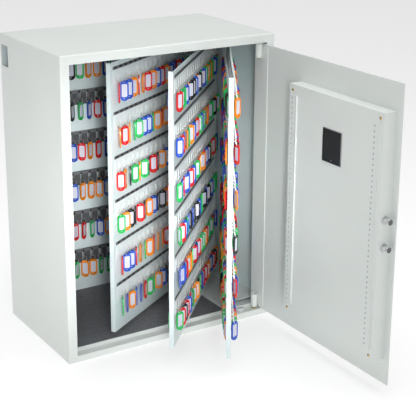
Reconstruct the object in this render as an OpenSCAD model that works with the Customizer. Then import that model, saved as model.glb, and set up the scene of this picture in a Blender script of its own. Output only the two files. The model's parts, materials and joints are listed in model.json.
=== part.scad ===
// Key cabinet with an inset door, an electronic bolt lock and three swing-out key leaves.
// Millimetres, +Z up. The cabinet faces -Y. The origin is the centre of its underside.
// It is drawn with the door fully open and the leaves fanned out like the pages of a book.

/* [Cabinet] */
// Outside width of the cabinet
body_w = 620; // [600:5:640]
// Outside depth of the cabinet
body_d = 365; // [360:5:380]
// Outside height of the cabinet
body_h = 800; // [800:1:805]
// Thickness of the folded body sheet
sheet = 2; // [1.5:0.5:2]
// Outer radius of the folded body edges
edge_r = 4; // [3:0.5:5]
// Width of the front stiles
stile_w = 24; // [22:1:25]
// Height of the front top rail
rail_h = 23; // [20:1:24]
// Height of the front face of the sill
sill_h = 18.6; // [16:0.2:19]

/* [Door] */
// Thickness of the door plate
door_t = 4; // [3:0.5:4]
// Angle between the shut door and the drawn door
door_angle = 90; // [0:5:90]
// Diameter of the door's hinge barrels
barrel_d = 19; // [18:0.5:19]
// Diameter of the door's hinge pins
hinge_pin_d = 8; // [6:0.5:10]

/* [Lock] */
// Diameter of the lock bolts
bolt_d = 16; // [12:1:16]
// Vertical distance between the lock bolts
bolt_gap = 68.5; // [60:0.5:72]
// How far the bolts slide
throw = 12; // [8:1:12]
// Angle the knob turns to throw the bolts
knob_turn = 50; // [40:5:50]

/* [Lock cover] */
// Width of the lock cover on the inside of the door
cover_w = 361; // [350:1:365]
// Height of the lock cover
cover_h = 619; // [600:1:622]
// Depth of the lock cover
cover_d = 36; // [34:1:38]
// Number of holes down each index strip
index_holes = 42; // [20:1:42]

/* [Key leaves] */
// Length of a leaf from its hinge axis to its free edge
leaf_l = 535; // [500:5:540]
// Height of a leaf
leaf_h = 720; // [700:5:720]
// Depth of the folded edge of a leaf
leaf_t = 12; // [10:1:12]
// Distance between the hinge axes of neighbouring leaves
leaf_pitch = 60; // [56:1:60]
// Opening angles of the rear, middle and front leaf
leaf_angles = [32.3, 46.4, 58.4];

/* [Keys] */
// Rows of hooks on each side of a leaf and on the back wall
rows = 6; // [1:1:6]
// Hooks in one row
hooks = 20; // [4:1:20]
// Distance between hooks on a leaf
hook_pitch = 25; // [24:0.5:25]
// Length of a key tag
tag_l = 52; // [45:1:54]
// Width of a key tag
tag_w = 22; // [18:1:22]

/* [Hidden] */
$fn = 48;

white = [0.86, 0.88, 0.86];
grey = [0.72, 0.77, 0.79];
anthracite = [0.2, 0.21, 0.22];
steel = [0.75, 0.76, 0.77];
brass = [0.78, 0.62, 0.3];
black = [0.1, 0.1, 0.11];

// Clear front opening and the inside faces
open_x0 = stile_w;
open_x1 = body_w - stile_w;
open_z1 = body_h - rail_h;
back_y = body_d - sheet;
in_x0 = sheet;
in_x1 = body_w - sheet;
in_z1 = body_h - sheet;
ledge_d = 25;
lip_t = 1.5;
floor_z = 26;
carpet_t = 4;
lip_z = floor_z + 3;
corner_x = 584;
corner_d = 4;
running = 0.05;

// Door: drawn shut, then turned open about its hinge axis
pivot_x = 580.5;
pivot_y = 15;
door_x0 = open_x0 + 2.5;
door_x1 = pivot_x + 12;
door_z0 = sill_h + 2.4;
door_z1 = open_z1 - 5;
flange_t = 2;
flange_x0 = 552;
flange_x1 = 610;
barrel_l = 38;
barrel_lo_z = door_z0 + 3;
barrel_hi_z = open_z1 - 3 - barrel_l;

// Lock cover and what stands on it
cover_t = 1.2;
cover_x0 = door_x0 + 17.5;
cover_z0 = door_z0 + 64;
cover_y1 = door_t + cover_d;
screw_inset = 14;
window_w = 74;
window_h = 86;
window_x0 = cover_x0 + 148;
window_z0 = cover_z0 + 452;
index_w = 30;
index_l = 562;
index_z0 = cover_z0 + 30;
index_pitch = 13.3;
tray_d = 24;
tray_wall = 1.5;
tray_y0 = cover_y1 - cover_t - tray_d;

// Bolts, carriage and crank
bolt_y = door_t + 18;
lock_z = cover_z0 + 326;
bolt_x0 = open_x0 + 1.2;
bolt_x1 = 88;
bush_d = 20;
guide_x = 50;
plate_y = 10;
plate_t = 4;
plate_x1 = 162;
plate_h = 118;
crank_r = throw / 2 / sin(knob_turn / 2);
spindle_x = 115;
spindle_d = 8;
crank_pin_d = 5;
stud_d = 6;
stud_x = 120;
stud_dz = 49;
plunger_d = 6;
plunger_x = 140;
carriage_top = lock_z + plate_h / 2;

// Keypad on the outside of the door
pad_w = 76;
pad_h = 128;
pad_d = 14;
pad_x = spindle_x;
pad_z = lock_z + 156;
key_w = 13;
key_h = 10;

// Leaves
hinge_x = 598;
leaf_y1 = 322;
leaf_sheet = 1.5;
leaf_back = 7.5;
tab_t = 1.5;
leaf_bush_d = 8;
leaf_z0 = 42;
leaf_z1 = leaf_z0 + leaf_h;
leaf_pin_d = 5;
bush_flange_d = 12;
bracket_x0 = 487;
bracket_z = 38;
upper_bracket_z = leaf_z1 + 4;
row_pitch = 115.2;
strip_z = leaf_z1 - 15;
strip_h = 8;
strip_t = 1;
rail_t = 1.2;
hook_rail_h = 36;
hook_rail_drop = 6;
hook_drop = 31;
hook_w = 5;
hook_out = 7;
hook_foot = 1.5;
hook_l = 19;
first_hook = 34;

// Back wall
wall_row_pitch = 116.6;
wall_strip_z = 744;
wall_rail_x0 = 42;
wall_rail_l = 536;
wall_rail_h = 40;
wall_rail_d = 7;
wall_hook_pitch = 26;
wall_fix_x = 200;
wall_fix_z = 236;
wall_fix_mid = 402;

// Rings and tags
ring_r = 7;
ring_wire = 1.4;
ring_tilt = 21;
ring_out = 3.8;
ring_gap = 0.1;
ring_reach = 2 * ring_r + ring_wire / 2;
ring_edge = ring_wire / 2 * sin(ring_tilt);
ring_sag = ring_r - sqrt(pow(ring_r - ring_wire / 2, 2) - pow(hook_w / 2, 2));
ring_top = hook_foot + ring_sag * cos(ring_tilt) + ring_edge + ring_gap;
tag_t = 3;
tag_out = ring_out + ring_reach * sin(ring_tilt);
tag_top = ring_top - ring_reach * cos(ring_tilt) - ring_edge - ring_gap;

function wobble(n, k) = sin(n * 137.5 + k * 61) * cos(n * 53.1 + k * 29);
function tag_yaw(n, k) = 15 + 24 * wobble(n, k);

// ---------- shared shapes ----------

// Moves a shape from the front left bottom corner of the cabinet to the origin
module placed() {
    translate([-body_w / 2, -body_d / 2, 0]) children();
}

// Turns a shape that is drawn on the shut door to the open door
module on_door() {
    placed()
        translate([pivot_x, pivot_y, 0])
            rotate([0, 0, door_angle])
                translate([-pivot_x, -pivot_y, 0]) children();
}

// A leaf's own frame: hinge axis at x = 0, free edge towards -X, front face towards -Y
module on_leaf(i) {
    placed()
        translate([hinge_x, leaf_y1 - i * leaf_pitch, 0])
            rotate([0, 0, leaf_angles[i]]) children();
}

module rounded_rect(w, h, r) {
    translate([r, 0]) square([w - 2 * r, h]);
    translate([0, r]) square([w, h - 2 * r]);
    for (x = [r, w - r], y = [r, h - r])
        translate([x, y]) circle(r);
}

// Stands a profile drawn in X and Z up, y0 to y0 + t
module upright(y0, t) {
    translate([0, y0 + t, 0]) rotate([90, 0, 0]) linear_extrude(t) children();
}

module rod_y(x, y0, z, d, l) {
    translate([x, y0, z]) rotate([-90, 0, 0]) cylinder(d = d, h = l);
}

module rod_x(x0, y, z, d, l) {
    translate([x0, y, z]) rotate([0, 90, 0]) cylinder(d = d, h = l);
}

// ---------- cabinet ----------

module body_wrap() {
    slot_y0 = back_y - 47;
    slot_z0 = body_h - 85;
    color(white) placed() difference() {
        upright(sheet, back_y - sheet) difference() {
            rounded_rect(body_w, body_h, edge_r);
            translate([sheet, sheet])
                rounded_rect(body_w - 2 * sheet, body_h - 2 * sheet, edge_r - sheet);
        }
        translate([-1, slot_y0, slot_z0]) cube([sheet + 2, 44, 56]);
    }
}

module front_frame() {
    color(white) placed() upright(0, sheet) difference() {
        rounded_rect(body_w, body_h, edge_r);
        translate([open_x0, sill_h])
            rounded_rect(open_x1 - open_x0, open_z1 - sill_h, 3);
    }
}

module back_panel() {
    hole_d = 10;
    color(white) placed() difference() {
        upright(back_y, sheet) rounded_rect(body_w, body_h, edge_r);
        for (sx = [-1, 1], sz = [-1, 1])
            rod_y(body_w / 2 + sx * wall_fix_x, back_y - 1, wall_fix_mid + sz * wall_fix_z, hole_d, sheet + 2);
    }
}

// Ledge under the door and the lip that stops the carpet. The lip ends where the open door stands
module door_sill() {
    color(white) placed() {
        translate([in_x0, sheet, sill_h - sheet]) cube([in_x1 - in_x0, ledge_d - sheet, sheet]);
        translate([in_x0, ledge_d, sill_h - sheet]) cube([corner_x - in_x0, lip_t, lip_z - sill_h + sheet]);
    }
}

module head_rail() {
    color(white) placed() {
        translate([in_x0, sheet, open_z1]) cube([in_x1 - in_x0, ledge_d, sheet]);
        translate([in_x0, sheet + ledge_d, open_z1]) cube([in_x1 - in_x0, lip_t, in_z1 - open_z1]);
    }
}

module floor_plate() {
    y0 = ledge_d + lip_t;
    color(grey) placed() difference() {
        translate([in_x0, y0, floor_z - sheet]) cube([in_x1 - in_x0, back_y - y0, sheet]);
        translate([corner_x, y0 - 1, floor_z - sheet - 1]) cube([body_w - corner_x, corner_d + 1, sheet + 2]);
    }
}

module floor_carpet() {
    y0 = ledge_d + lip_t;
    color([0.35, 0.36, 0.38]) placed()
        translate([in_x0, y0, floor_z]) cube([bracket_x0 - in_x0, back_y - y0, carpet_t]);
}

// Low channel on the floor that carries the leaves' lower pins
module leaf_bracket_lower() {
    y0 = 48;
    color(grey) placed() difference() {
        translate([bracket_x0, y0, floor_z]) cube([in_x1 - bracket_x0, back_y - y0, bracket_z - floor_z]);
        translate([bracket_x0 + sheet, y0 - 1, floor_z - 1])
            cube([in_x1 - bracket_x0 - 2 * sheet, back_y - y0 + 2, bracket_z - floor_z - sheet + 1]);
    }
}

module leaf_bracket_upper() {
    y0 = 170;
    color(grey) placed() {
        translate([hinge_x - 28, y0, upper_bracket_z]) cube([in_x1 - hinge_x + 28, back_y - y0, sheet]);
        translate([hinge_x - 28, y0, upper_bracket_z]) cube([sheet, back_y - y0, in_z1 - upper_bracket_z]);
    }
}

module leaf_pins() {
    collar_h = 2.2;
    color(steel) placed() for (i = [0:2]) translate([hinge_x, leaf_y1 - i * leaf_pitch, 0]) {
        translate([0, 0, bracket_z]) cylinder(d = bush_flange_d, h = collar_h);
        translate([0, 0, bracket_z]) cylinder(d = leaf_pin_d, h = 15);
        translate([0, 0, upper_bracket_z - collar_h]) cylinder(d = bush_flange_d, h = collar_h);
        translate([0, 0, upper_bracket_z - 15]) cylinder(d = leaf_pin_d, h = 15);
    }
}

module door_pins() {
    collar_h = barrel_lo_z - sill_h - 0.3;
    color(brass) placed() translate([pivot_x, pivot_y, 0]) {
        translate([0, 0, sill_h]) cylinder(d = hinge_pin_d, h = barrel_lo_z + barrel_l - 4 - sill_h);
        translate([0, 0, sill_h]) cylinder(d = 14, h = collar_h);
        translate([0, 0, barrel_hi_z - 3]) cylinder(d = hinge_pin_d, h = open_z1 - barrel_hi_z + 3);
    }
}

module sill_glide() {
    color(white) placed() translate([526, 10, sill_h]) cube([20, 12, 8.4]);
}

// ---------- hooks, rings and tags ----------

// One hook pressed out of a rail: a foot and an upright tongue, standing on y = 0 towards -Y
module hook() {
    translate([-hook_w / 2, -hook_out, 0]) cube([hook_w, hook_out, hook_foot]);
    translate([-hook_w / 2, -hook_out, 0]) cube([hook_w, hook_foot, hook_l]);
}

// A split ring of flat wire
module ring() {
    rotate([90, 0, 0]) linear_extrude(ring_wire, center = true) difference() {
        circle(ring_r + ring_wire / 2);
        circle(ring_r - ring_wire / 2);
    }
}

module tag() {
    translate([-tag_w / 2, -tag_t / 2, -tag_l]) cube([tag_w, tag_t, tag_l]);
}

function row_z(k) = strip_z - k * row_pitch;
function wall_row_z(k) = wall_strip_z - k * wall_row_pitch;
function hook_x(j) = -first_hook - j * hook_pitch;
rail_x0 = hook_x(hooks - 1) - 14;
rail_l = hook_x(0) + 14 - rail_x0;
wall_hook_x0 = wall_rail_x0 + (wall_rail_l - (hooks - 1) * wall_hook_pitch) / 2;
function wall_hook_x(j) = wall_hook_x0 + j * wall_hook_pitch;

// Puts children at every hook root of one leaf side. side = 0 is the front, 1 the rear
module at_leaf_hooks(side) {
    face = side == 0 ? -leaf_t / 2 - rail_t : -leaf_t / 2 + leaf_sheet + rail_t;
    for (k = [0 : rows - 1], j = [0 : hooks - 1])
        translate([hook_x(j), face, row_z(k) - hook_drop])
            rotate([0, 0, 180 * side]) {
                $n = j + hooks * k;
                $k = side * 7;
                children();
            }
}

module at_wall_hooks() {
    for (k = [0 : rows - 1], j = [0 : hooks - 1])
        translate([wall_hook_x(j), back_y - wall_rail_d, wall_row_z(k) - hook_drop]) {
            $n = j + hooks * k;
            $k = 3;
            children();
        }
}

// A ring hangs behind the hook's tongue and leans out at the bottom, and its tag hangs below it
module hung_ring() {
    translate([0, -ring_out, ring_top]) rotate([-ring_tilt, 0, 0]) translate([0, 0, -ring_r]) ring();
}

module hung_tag() {
    translate([0, -tag_out, tag_top]) rotate([0, 0, tag_yaw($n, $k)]) tag();
}

module leaf_panel(i) {
    color(white) on_leaf(i) difference() {
        union() {
            translate([-leaf_l, -leaf_t / 2, leaf_z0]) cube([leaf_l + leaf_back, leaf_sheet, leaf_h]);
            for (x = [-leaf_l, leaf_back - leaf_sheet])
                translate([x, -leaf_t / 2, leaf_z0]) cube([leaf_sheet, leaf_t, leaf_h]);
            for (z = [leaf_z0, leaf_z1 - tab_t])
                translate([-10, -leaf_t / 2, z]) cube([10 + leaf_back, leaf_t, tab_t]);
        }
        translate([0, 0, leaf_z0 - 1]) cylinder(d = leaf_bush_d, h = tab_t + 2);
        translate([0, 0, leaf_z1 - tab_t - 1]) cylinder(d = leaf_bush_d, h = tab_t + 2);
    }
}

// Flanged bushes in the leaf's end tabs
module leaf_bushes(i) {
    color(black) on_leaf(i) for (up = [0, 1]) difference() {
        translate([0, 0, up * leaf_z1 + (1 - up) * leaf_z0]) mirror([0, 0, up]) {
            translate([0, 0, -tab_t]) cylinder(d = bush_flange_d, h = tab_t);
            cylinder(d = leaf_bush_d, h = 8);
        }
        translate([0, 0, leaf_z0 - 3]) cylinder(d = leaf_pin_d + 2 * running, h = leaf_h + 6);
    }
}

module leaf_hook_rails(i) {
    color(grey) on_leaf(i) {
        for (k = [0 : rows - 1], side = [0, 1])
            translate([rail_x0, side == 0 ? -leaf_t / 2 - rail_t : -leaf_t / 2 + leaf_sheet,
                       row_z(k) - hook_rail_drop - hook_rail_h])
                cube([rail_l, rail_t, hook_rail_h]);
        for (side = [0, 1]) at_leaf_hooks(side) hook();
    }
}

module leaf_number_strips(i) {
    color(anthracite) on_leaf(i)
        for (k = [0 : rows - 1], side = [0, 1])
            translate([rail_x0, side == 0 ? -leaf_t / 2 - strip_t : -leaf_t / 2 + leaf_sheet,
                       row_z(k) - strip_h / 2])
                cube([rail_l, strip_t, strip_h]);
}

module leaf_key_tags(i) {
    color([0.2, 0.6, 0.35]) on_leaf(i)
        for (side = [0, 1]) at_leaf_hooks(side) hung_tag();
}

module leaf_split_rings(i) {
    color(steel) on_leaf(i)
        for (side = [0, 1]) at_leaf_hooks(side) hung_ring();
}

module wall_hook_rails() {
    color(anthracite) placed() {
        for (k = [0 : rows - 1])
            translate([wall_rail_x0, back_y - wall_rail_d, wall_row_z(k) - hook_rail_drop - wall_rail_h])
                difference() {
                    cube([wall_rail_l, wall_rail_d, wall_rail_h]);
                    translate([-1, rail_t, rail_t])
                        cube([wall_rail_l + 2, wall_rail_d, wall_rail_h - 2 * rail_t]);
                }
        at_wall_hooks() hook();
    }
}

module wall_number_strips() {
    color(anthracite) placed() for (k = [0 : rows - 1])
        translate([wall_rail_x0, back_y - wall_rail_d - strip_t, wall_row_z(k) - hook_rail_drop - strip_h])
            cube([wall_rail_l, strip_t, strip_h]);
}

module wall_key_tags() {
    color([0.2, 0.3, 0.6]) placed() at_wall_hooks() hung_tag();
}

module wall_split_rings() {
    color(steel) placed() at_wall_hooks() hung_ring();
}

// ---------- door ----------

module door_plate() {
    color(white) on_door() difference() {
        translate([door_x0, 0, door_z0]) cube([door_x1 - door_x0, door_t, door_z1 - door_z0]);
        rod_y(spindle_x, -1, lock_z, 14, door_t + 2);
        rod_y(pad_x, -1, pad_z, 10, door_t + 2);
    }
}

// Strip on the hinge side that passes behind the stile when the door shuts
module anti_pry_flange() {
    color(white) on_door()
        translate([flange_x0, door_t, door_z0 + 9])
            cube([flange_x1 - flange_x0, flange_t, door_z1 - door_z0 - 16]);
}

module hinge_barrels() {
    flat_y = door_t + flange_t;
    color(white) on_door() difference() {
        for (z = [barrel_lo_z, barrel_hi_z])
            translate([pivot_x, pivot_y, z]) cylinder(d = barrel_d, h = barrel_l);
        translate([pivot_x - 20, flat_y - 10, 0]) cube([40, 10, body_h]);
        translate([pivot_x, pivot_y, 0]) cylinder(d = hinge_pin_d + 2 * running, h = body_h);
    }
}

module at_cover_screws() {
    for (x = [cover_x0 + screw_inset, cover_x0 + cover_w - screw_inset],
         z = [cover_z0 + screw_inset, cover_z0 + cover_h - screw_inset])
        translate([x, 0, z]) children();
}

module at_bolts() {
    for (s = [-1, 1])
        translate([0, bolt_y, lock_z + s * bolt_gap / 2]) children();
}

module lock_cover() {
    color(white) on_door() difference() {
        translate([cover_x0, door_t, cover_z0]) cube([cover_w, cover_d, cover_h]);
        translate([cover_x0 + cover_t, door_t - 1, cover_z0 + cover_t])
            cube([cover_w - 2 * cover_t, cover_d + 1 - cover_t, cover_h - 2 * cover_t]);
        translate([window_x0, cover_y1 - 5, window_z0]) cube([window_w, 10, window_h]);
        at_cover_screws() rod_y(0, cover_y1 - 5, 0, 4.4, 10);
        at_bolts() rod_x(cover_x0 - 1, 0, 0, bush_d, 5);
    }
}

module cover_posts() {
    color(steel) on_door() at_cover_screws() difference() {
        rod_y(0, door_t, 0, 10, cover_d - cover_t);
        rod_y(0, cover_y1 - cover_t - 12, 0, 4, 13);
    }
}

module cover_screws() {
    color(brass) on_door() at_cover_screws() {
        rod_y(0, cover_y1, 0, 8, 2.4);
        rod_y(0, cover_y1 - cover_t - 10, 0, 4, 10 + cover_t);
    }
}

// Perforated strip for a paper key index, with a lip on its low X edge
module index_strip(x0) {
    hole_x = x0 + index_w - 8;
    color(white) on_door() {
        difference() {
            translate([x0, cover_y1, index_z0]) cube([index_w, cover_t, index_l]);
            for (k = [0 : index_holes - 1])
                rod_y(hole_x, cover_y1 - 1, index_z0 + 8 + k * index_pitch, 5, cover_t + 2);
        }
        translate([x0, cover_y1 + cover_t, index_z0]) cube([cover_t, 3, index_l]);
    }
}

module index_strip_hinge_side() {
    index_strip(cover_x0 + cover_w - 33);
}

module index_strip_lock_side() {
    index_strip(cover_x0 + 10);
}

module battery_cover() {
    color(black) on_door()
        translate([window_x0 + 0.5, cover_y1 - cover_t, window_z0 + 0.5])
            cube([window_w - 1, 2.4, window_h - 1]);
}

module battery_tray() {
    color(black) on_door() difference() {
        translate([window_x0 + 1, tray_y0, window_z0 + 1]) cube([window_w - 2, tray_d, window_h - 2]);
        translate([window_x0 + 1 + tray_wall, tray_y0 + tray_wall, window_z0 + 1 + tray_wall])
            cube([window_w - 2 - 2 * tray_wall, tray_d, window_h - 2 - 2 * tray_wall]);
    }
}

module battery_cells() {
    cell_d = 14.2;
    gap = 16.5;
    y = tray_y0 + tray_wall + cell_d / 2;
    color([0.3, 0.35, 0.4]) on_door() for (k = [0:3])
        translate([window_x0 + window_w / 2 + (k - 1.5) * gap, y, window_z0 + 17]) {
            cylinder(d = cell_d, h = 50);
            translate([0, 0, 50]) cylinder(d = 5, h = 1.5);
        }
}

// Lead from the battery tray to the circuit board, held along the door plate
module battery_lead() {
    d = 3;
    y = door_t + 6;
    z = window_z0 + 30;
    x1 = pad_x + 31;
    x2 = window_x0 + 30;
    color(black) on_door() {
        rod_x(x1, y, z, d, x2 - x1);
        translate([x2, y, z]) sphere(d = d);
        rod_y(x2, y, z, d, tray_y0 - y);
    }
}

module circuit_board() {
    color([0.1, 0.35, 0.2]) on_door() {
        translate([pad_x - 30, door_t + 4, pad_z - 45]) cube([60, 1.6, 90]);
        for (x = [pad_x - 24, pad_x + 24], z = [pad_z - 39, pad_z + 39]) rod_y(x, door_t, z, 6, 4);
        translate([pad_x + 15, door_t + 5.6, window_z0 + 22]) cube([16, 5, 16]);
    }
}

module bolt_guide_plate() {
    color(steel) on_door() difference() {
        translate([guide_x, door_t, lock_z - 71]) cube([3, cover_d - cover_t - 1, 142]);
        at_bolts() rod_x(guide_x - 1, 0, 0, bush_d, 5);
    }
}

module bolt_bushes() {
    color(steel) on_door() at_bolts() difference() {
        union() {
            rod_x(cover_x0 - 2.5, 0, 0, bush_d + 2, 2.5);
            rod_x(cover_x0, 0, 0, bush_d, guide_x + 3 - cover_x0);
        }
        rod_x(cover_x0 - 5, 0, 0, bolt_d + 2 * running, 30);
    }
}

module guide_studs() {
    color(steel) on_door() for (s = [-1, 1]) translate([0, 0, lock_z + s * stud_dz]) {
        rod_y(stud_x, door_t, 0, 12, plate_y - door_t - 0.3);
        rod_y(stud_x, door_t, 0, stud_d, plate_y + plate_t + 0.3 - door_t);
        rod_y(stud_x, plate_y + plate_t + 0.3, 0, 11, 2);
    }
}

module solenoid_body() {
    y = plate_y + plate_t / 2;
    color(steel) on_door() difference() {
        translate([plunger_x - 14, door_t, carriage_top + 12]) cube([28, 16, 34]);
        translate([plunger_x, y, carriage_top + 11]) cylinder(d = plunger_d + 2 * running, h = 30);
    }
}

module solenoid_plunger() {
    color(steel) on_door()
        translate([plunger_x, plate_y + plate_t / 2, carriage_top + 1.5]) cylinder(d = plunger_d, h = 30);
}

module keypad_housing() {
    wall = 2.5;
    x0 = pad_x - pad_w / 2;
    z0 = pad_z - pad_h / 2;
    color(black) on_door() difference() {
        upright(-pad_d, pad_d) translate([x0, z0]) rounded_rect(pad_w, pad_h, 8);
        upright(-pad_d + wall, pad_d) translate([x0 + wall, z0 + wall])
            rounded_rect(pad_w - 2 * wall, pad_h - 2 * wall, 6);
        at_keys() translate([-key_w / 2, -pad_d - 1, -key_h / 2]) cube([key_w, wall + 2, key_h]);
        rod_y(pad_x, -pad_d - 1, z0 + pad_h - 14, 4, wall + 2);
    }
}

module at_keys() {
    for (cx = [-1:1], cz = [0:3])
        translate([pad_x + cx * 20, 0, pad_z - 42 + cz * 22]) children();
}

// One moulded mat: a sheet with twelve raised keys
module keypad_mat() {
    y = -pad_d + 2.5;
    color(grey) on_door() {
        translate([pad_x - 32, y, pad_z - 52]) cube([64, 1.5, 88]);
        at_keys() translate([-key_w / 2 + 0.4, y - 4.5, -key_h / 2 + 0.4]) cube([key_w - 0.8, 4.5, key_h - 0.8]);
    }
}

module spindle_bush() {
    color(steel) on_door() difference() {
        union() {
            rod_y(spindle_x, -2.5, lock_z, 22, 2.5);
            rod_y(spindle_x, 0, lock_z, 14, door_t + 2);
        }
        rod_y(spindle_x, -5, lock_z, spindle_d + 2 * running, 20);
    }
}

module knob() {
    color(steel) on_door() {
        rod_y(spindle_x, -12, lock_z, 50, 9);
        translate([spindle_x - 7, -34, lock_z - 24]) cube([14, 22, 48]);
    }
}

// Spindle, crank arm and crank pin, one welded piece. The crank stands knob_turn / 2 off the vertical
module spindle_crank() {
    arm_y = plate_y + plate_t + 1;
    color(steel) on_door() translate([spindle_x, 0, lock_z]) rotate([0, knob_turn / 2, 0]) {
        rod_y(0, -3, 0, spindle_d, arm_y + 7);
        rod_y(0, arm_y, 0, 14, 4);
        translate([-5, arm_y, 0]) cube([10, 3, crank_r]);
        rod_y(0, arm_y, crank_r, 10, 3);
        rod_y(0, plate_y - 0.5, crank_r, crank_pin_d, arm_y - plate_y + 0.5);
    }
}

// Plate that slides on the guide studs, with an upstand that both bolts are screwed to
module bolt_carriage() {
    pin_x = spindle_x + throw / 2;
    pin_z = lock_z + crank_r * (1 + cos(knob_turn / 2)) / 2;
    slot_w = stud_d + 0.4;
    color(steel) on_door() {
        difference() {
            translate([bolt_x1, plate_y, lock_z - plate_h / 2]) cube([plate_x1 - bolt_x1, plate_t, plate_h]);
            for (s = [-1, 1])
                translate([stud_x - slot_w / 2, plate_y - 1, lock_z + s * stud_dz - slot_w / 2])
                    cube([throw + slot_w, plate_t + 2, slot_w]);
            translate([spindle_x - 5, plate_y - 1, lock_z - 5]) cube([throw + 10, plate_t + 2, 10]);
            translate([pin_x - 2.8, plate_y - 1, pin_z - 4.2]) cube([5.6, plate_t + 2, 8.4]);
            for (x = [plunger_x, plunger_x + throw])
                translate([x - 3.4, plate_y - 1, carriage_top - 9]) cube([6.8, plate_t + 2, 10]);
        }
        translate([bolt_x1, plate_y + plate_t, lock_z - 48]) cube([6, 17, 96]);
    }
}

module lock_bolts() {
    color(steel) on_door() at_bolts() rod_x(bolt_x0, 0, 0, bolt_d, bolt_x1 - bolt_x0);
}

// ---------- nodes ----------

body_wrap();
front_frame();
back_panel();
door_sill();
head_rail();
floor_plate();
floor_carpet();
leaf_bracket_lower();
leaf_bracket_upper();
leaf_pins();
door_pins();
sill_glide();
wall_hook_rails();
wall_number_strips();
wall_key_tags();
wall_split_rings();
leaf_panel(0);  // leaf_1_panel
leaf_bushes(0);  // leaf_1_bushes
leaf_hook_rails(0);  // leaf_1_hook_rails
leaf_number_strips(0);  // leaf_1_number_strips
leaf_key_tags(0);  // leaf_1_key_tags
leaf_split_rings(0);  // leaf_1_split_rings
leaf_panel(1);  // leaf_2_panel
leaf_bushes(1);  // leaf_2_bushes
leaf_hook_rails(1);  // leaf_2_hook_rails
leaf_number_strips(1);  // leaf_2_number_strips
leaf_key_tags(1);  // leaf_2_key_tags
leaf_split_rings(1);  // leaf_2_split_rings
leaf_panel(2);  // leaf_3_panel
leaf_bushes(2);  // leaf_3_bushes
leaf_hook_rails(2);  // leaf_3_hook_rails
leaf_number_strips(2);  // leaf_3_number_strips
leaf_key_tags(2);  // leaf_3_key_tags
leaf_split_rings(2);  // leaf_3_split_rings
door_plate();
anti_pry_flange();
hinge_barrels();
lock_cover();
cover_posts();
cover_screws();
index_strip_hinge_side();
index_strip_lock_side();
battery_cover();
battery_tray();
battery_cells();
battery_lead();
circuit_board();
bolt_guide_plate();
bolt_bushes();
guide_studs();
solenoid_body();
solenoid_plunger();
keypad_housing();
keypad_mat();
spindle_bush();
knob();
spindle_crank();
bolt_carriage();
lock_bolts();
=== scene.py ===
"""Looks for a key cabinet with swing-out key leaves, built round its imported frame."""

import json
import random
from math import cos, pi, radians, sin

import bmesh
import bpy
from mathutils import Matrix, Vector


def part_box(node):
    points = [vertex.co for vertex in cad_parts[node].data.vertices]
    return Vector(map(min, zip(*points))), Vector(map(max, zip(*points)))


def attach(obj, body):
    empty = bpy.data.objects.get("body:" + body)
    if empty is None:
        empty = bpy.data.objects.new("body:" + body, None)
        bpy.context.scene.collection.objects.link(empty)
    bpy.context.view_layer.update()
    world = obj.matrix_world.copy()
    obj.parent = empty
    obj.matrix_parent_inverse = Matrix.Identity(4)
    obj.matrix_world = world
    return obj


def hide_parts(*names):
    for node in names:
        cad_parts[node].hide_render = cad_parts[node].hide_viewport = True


bl_info = {
    "name": "Key Cabinet",
    "version": (1, 0, 0),
    "blender": (4, 5, 0),
    "location": "View3D > Sidebar > Key Cabinet",
    "description": "Builds the painted steel, key tags and lock parts of a key cabinet",
    "category": "Object",
}

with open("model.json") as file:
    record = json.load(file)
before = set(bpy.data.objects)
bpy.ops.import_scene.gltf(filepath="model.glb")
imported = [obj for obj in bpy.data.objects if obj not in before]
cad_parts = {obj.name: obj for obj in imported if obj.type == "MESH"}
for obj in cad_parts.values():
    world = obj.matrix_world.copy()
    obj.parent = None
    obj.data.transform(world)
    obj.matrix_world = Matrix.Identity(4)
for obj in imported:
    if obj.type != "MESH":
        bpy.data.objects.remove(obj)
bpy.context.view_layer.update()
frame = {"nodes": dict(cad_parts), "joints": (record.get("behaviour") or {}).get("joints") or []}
NODES = frame["nodes"]
JOINTS = {joint["name"]: joint for joint in frame["joints"]}
MM = 0.001

# The body: its sheet, the opening in its front and the slot in its left side
BODY_SHEET = 2 * MM
FRAME_W = 24 * MM
OPENING_Z = (18.6 * MM, 777 * MM)
SLOT_BACK = 3 * MM
SLOT_TOP = 29 * MM
SLOT_SIZE = (44 * MM, 56 * MM)

# Rows of hooks, as the frame has them. A leaf's front side comes first, its back side second
ROWS = 6
HOOKS = 20
LEAF_COUNT = 3
LEAF_SKIN = (-6 * MM, -4.5 * MM)
OUTWARD = (-1, 1)
LEAF_STRIP_Z = 747 * MM
LEAF_ROW_PITCH = 115.2 * MM
LEAF_FIRST_HOOK = 34 * MM
LEAF_HOOK_PITCH = 25 * MM
LEAF_RAIL_H = 36 * MM
WALL_STRIP_Z = 744 * MM
WALL_ROW_PITCH = 116.6 * MM
WALL_HOOK_PITCH = 26 * MM
WALL_RAIL_H = 40 * MM
WALL_RAIL_D = 7 * MM
LEAF_HOOKS_X = [-LEAF_FIRST_HOOK - n * LEAF_HOOK_PITCH for n in range(HOOKS)]
LEAF_ROWS_Z = [LEAF_STRIP_Z - row * LEAF_ROW_PITCH for row in range(ROWS)]
WALL_HOOKS_X = [(n - (HOOKS - 1) / 2) * WALL_HOOK_PITCH for n in range(HOOKS)]
WALL_ROWS_Z = [WALL_STRIP_Z - row * WALL_ROW_PITCH for row in range(ROWS)]

# Every rail hangs below its row's strip, and every hook below that
RAIL_DROP = 6 * MM
RAIL_SHEET = 1.2 * MM
RAIL_END = 14 * MM
HOOK_DROP = 31 * MM
HOOK_W = 5 * MM
HOOK_CUT_W = 6.4 * MM
HOOK_CUT_H = 17 * MM
HOOK_CUT_GAP = 1.5 * MM

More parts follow.
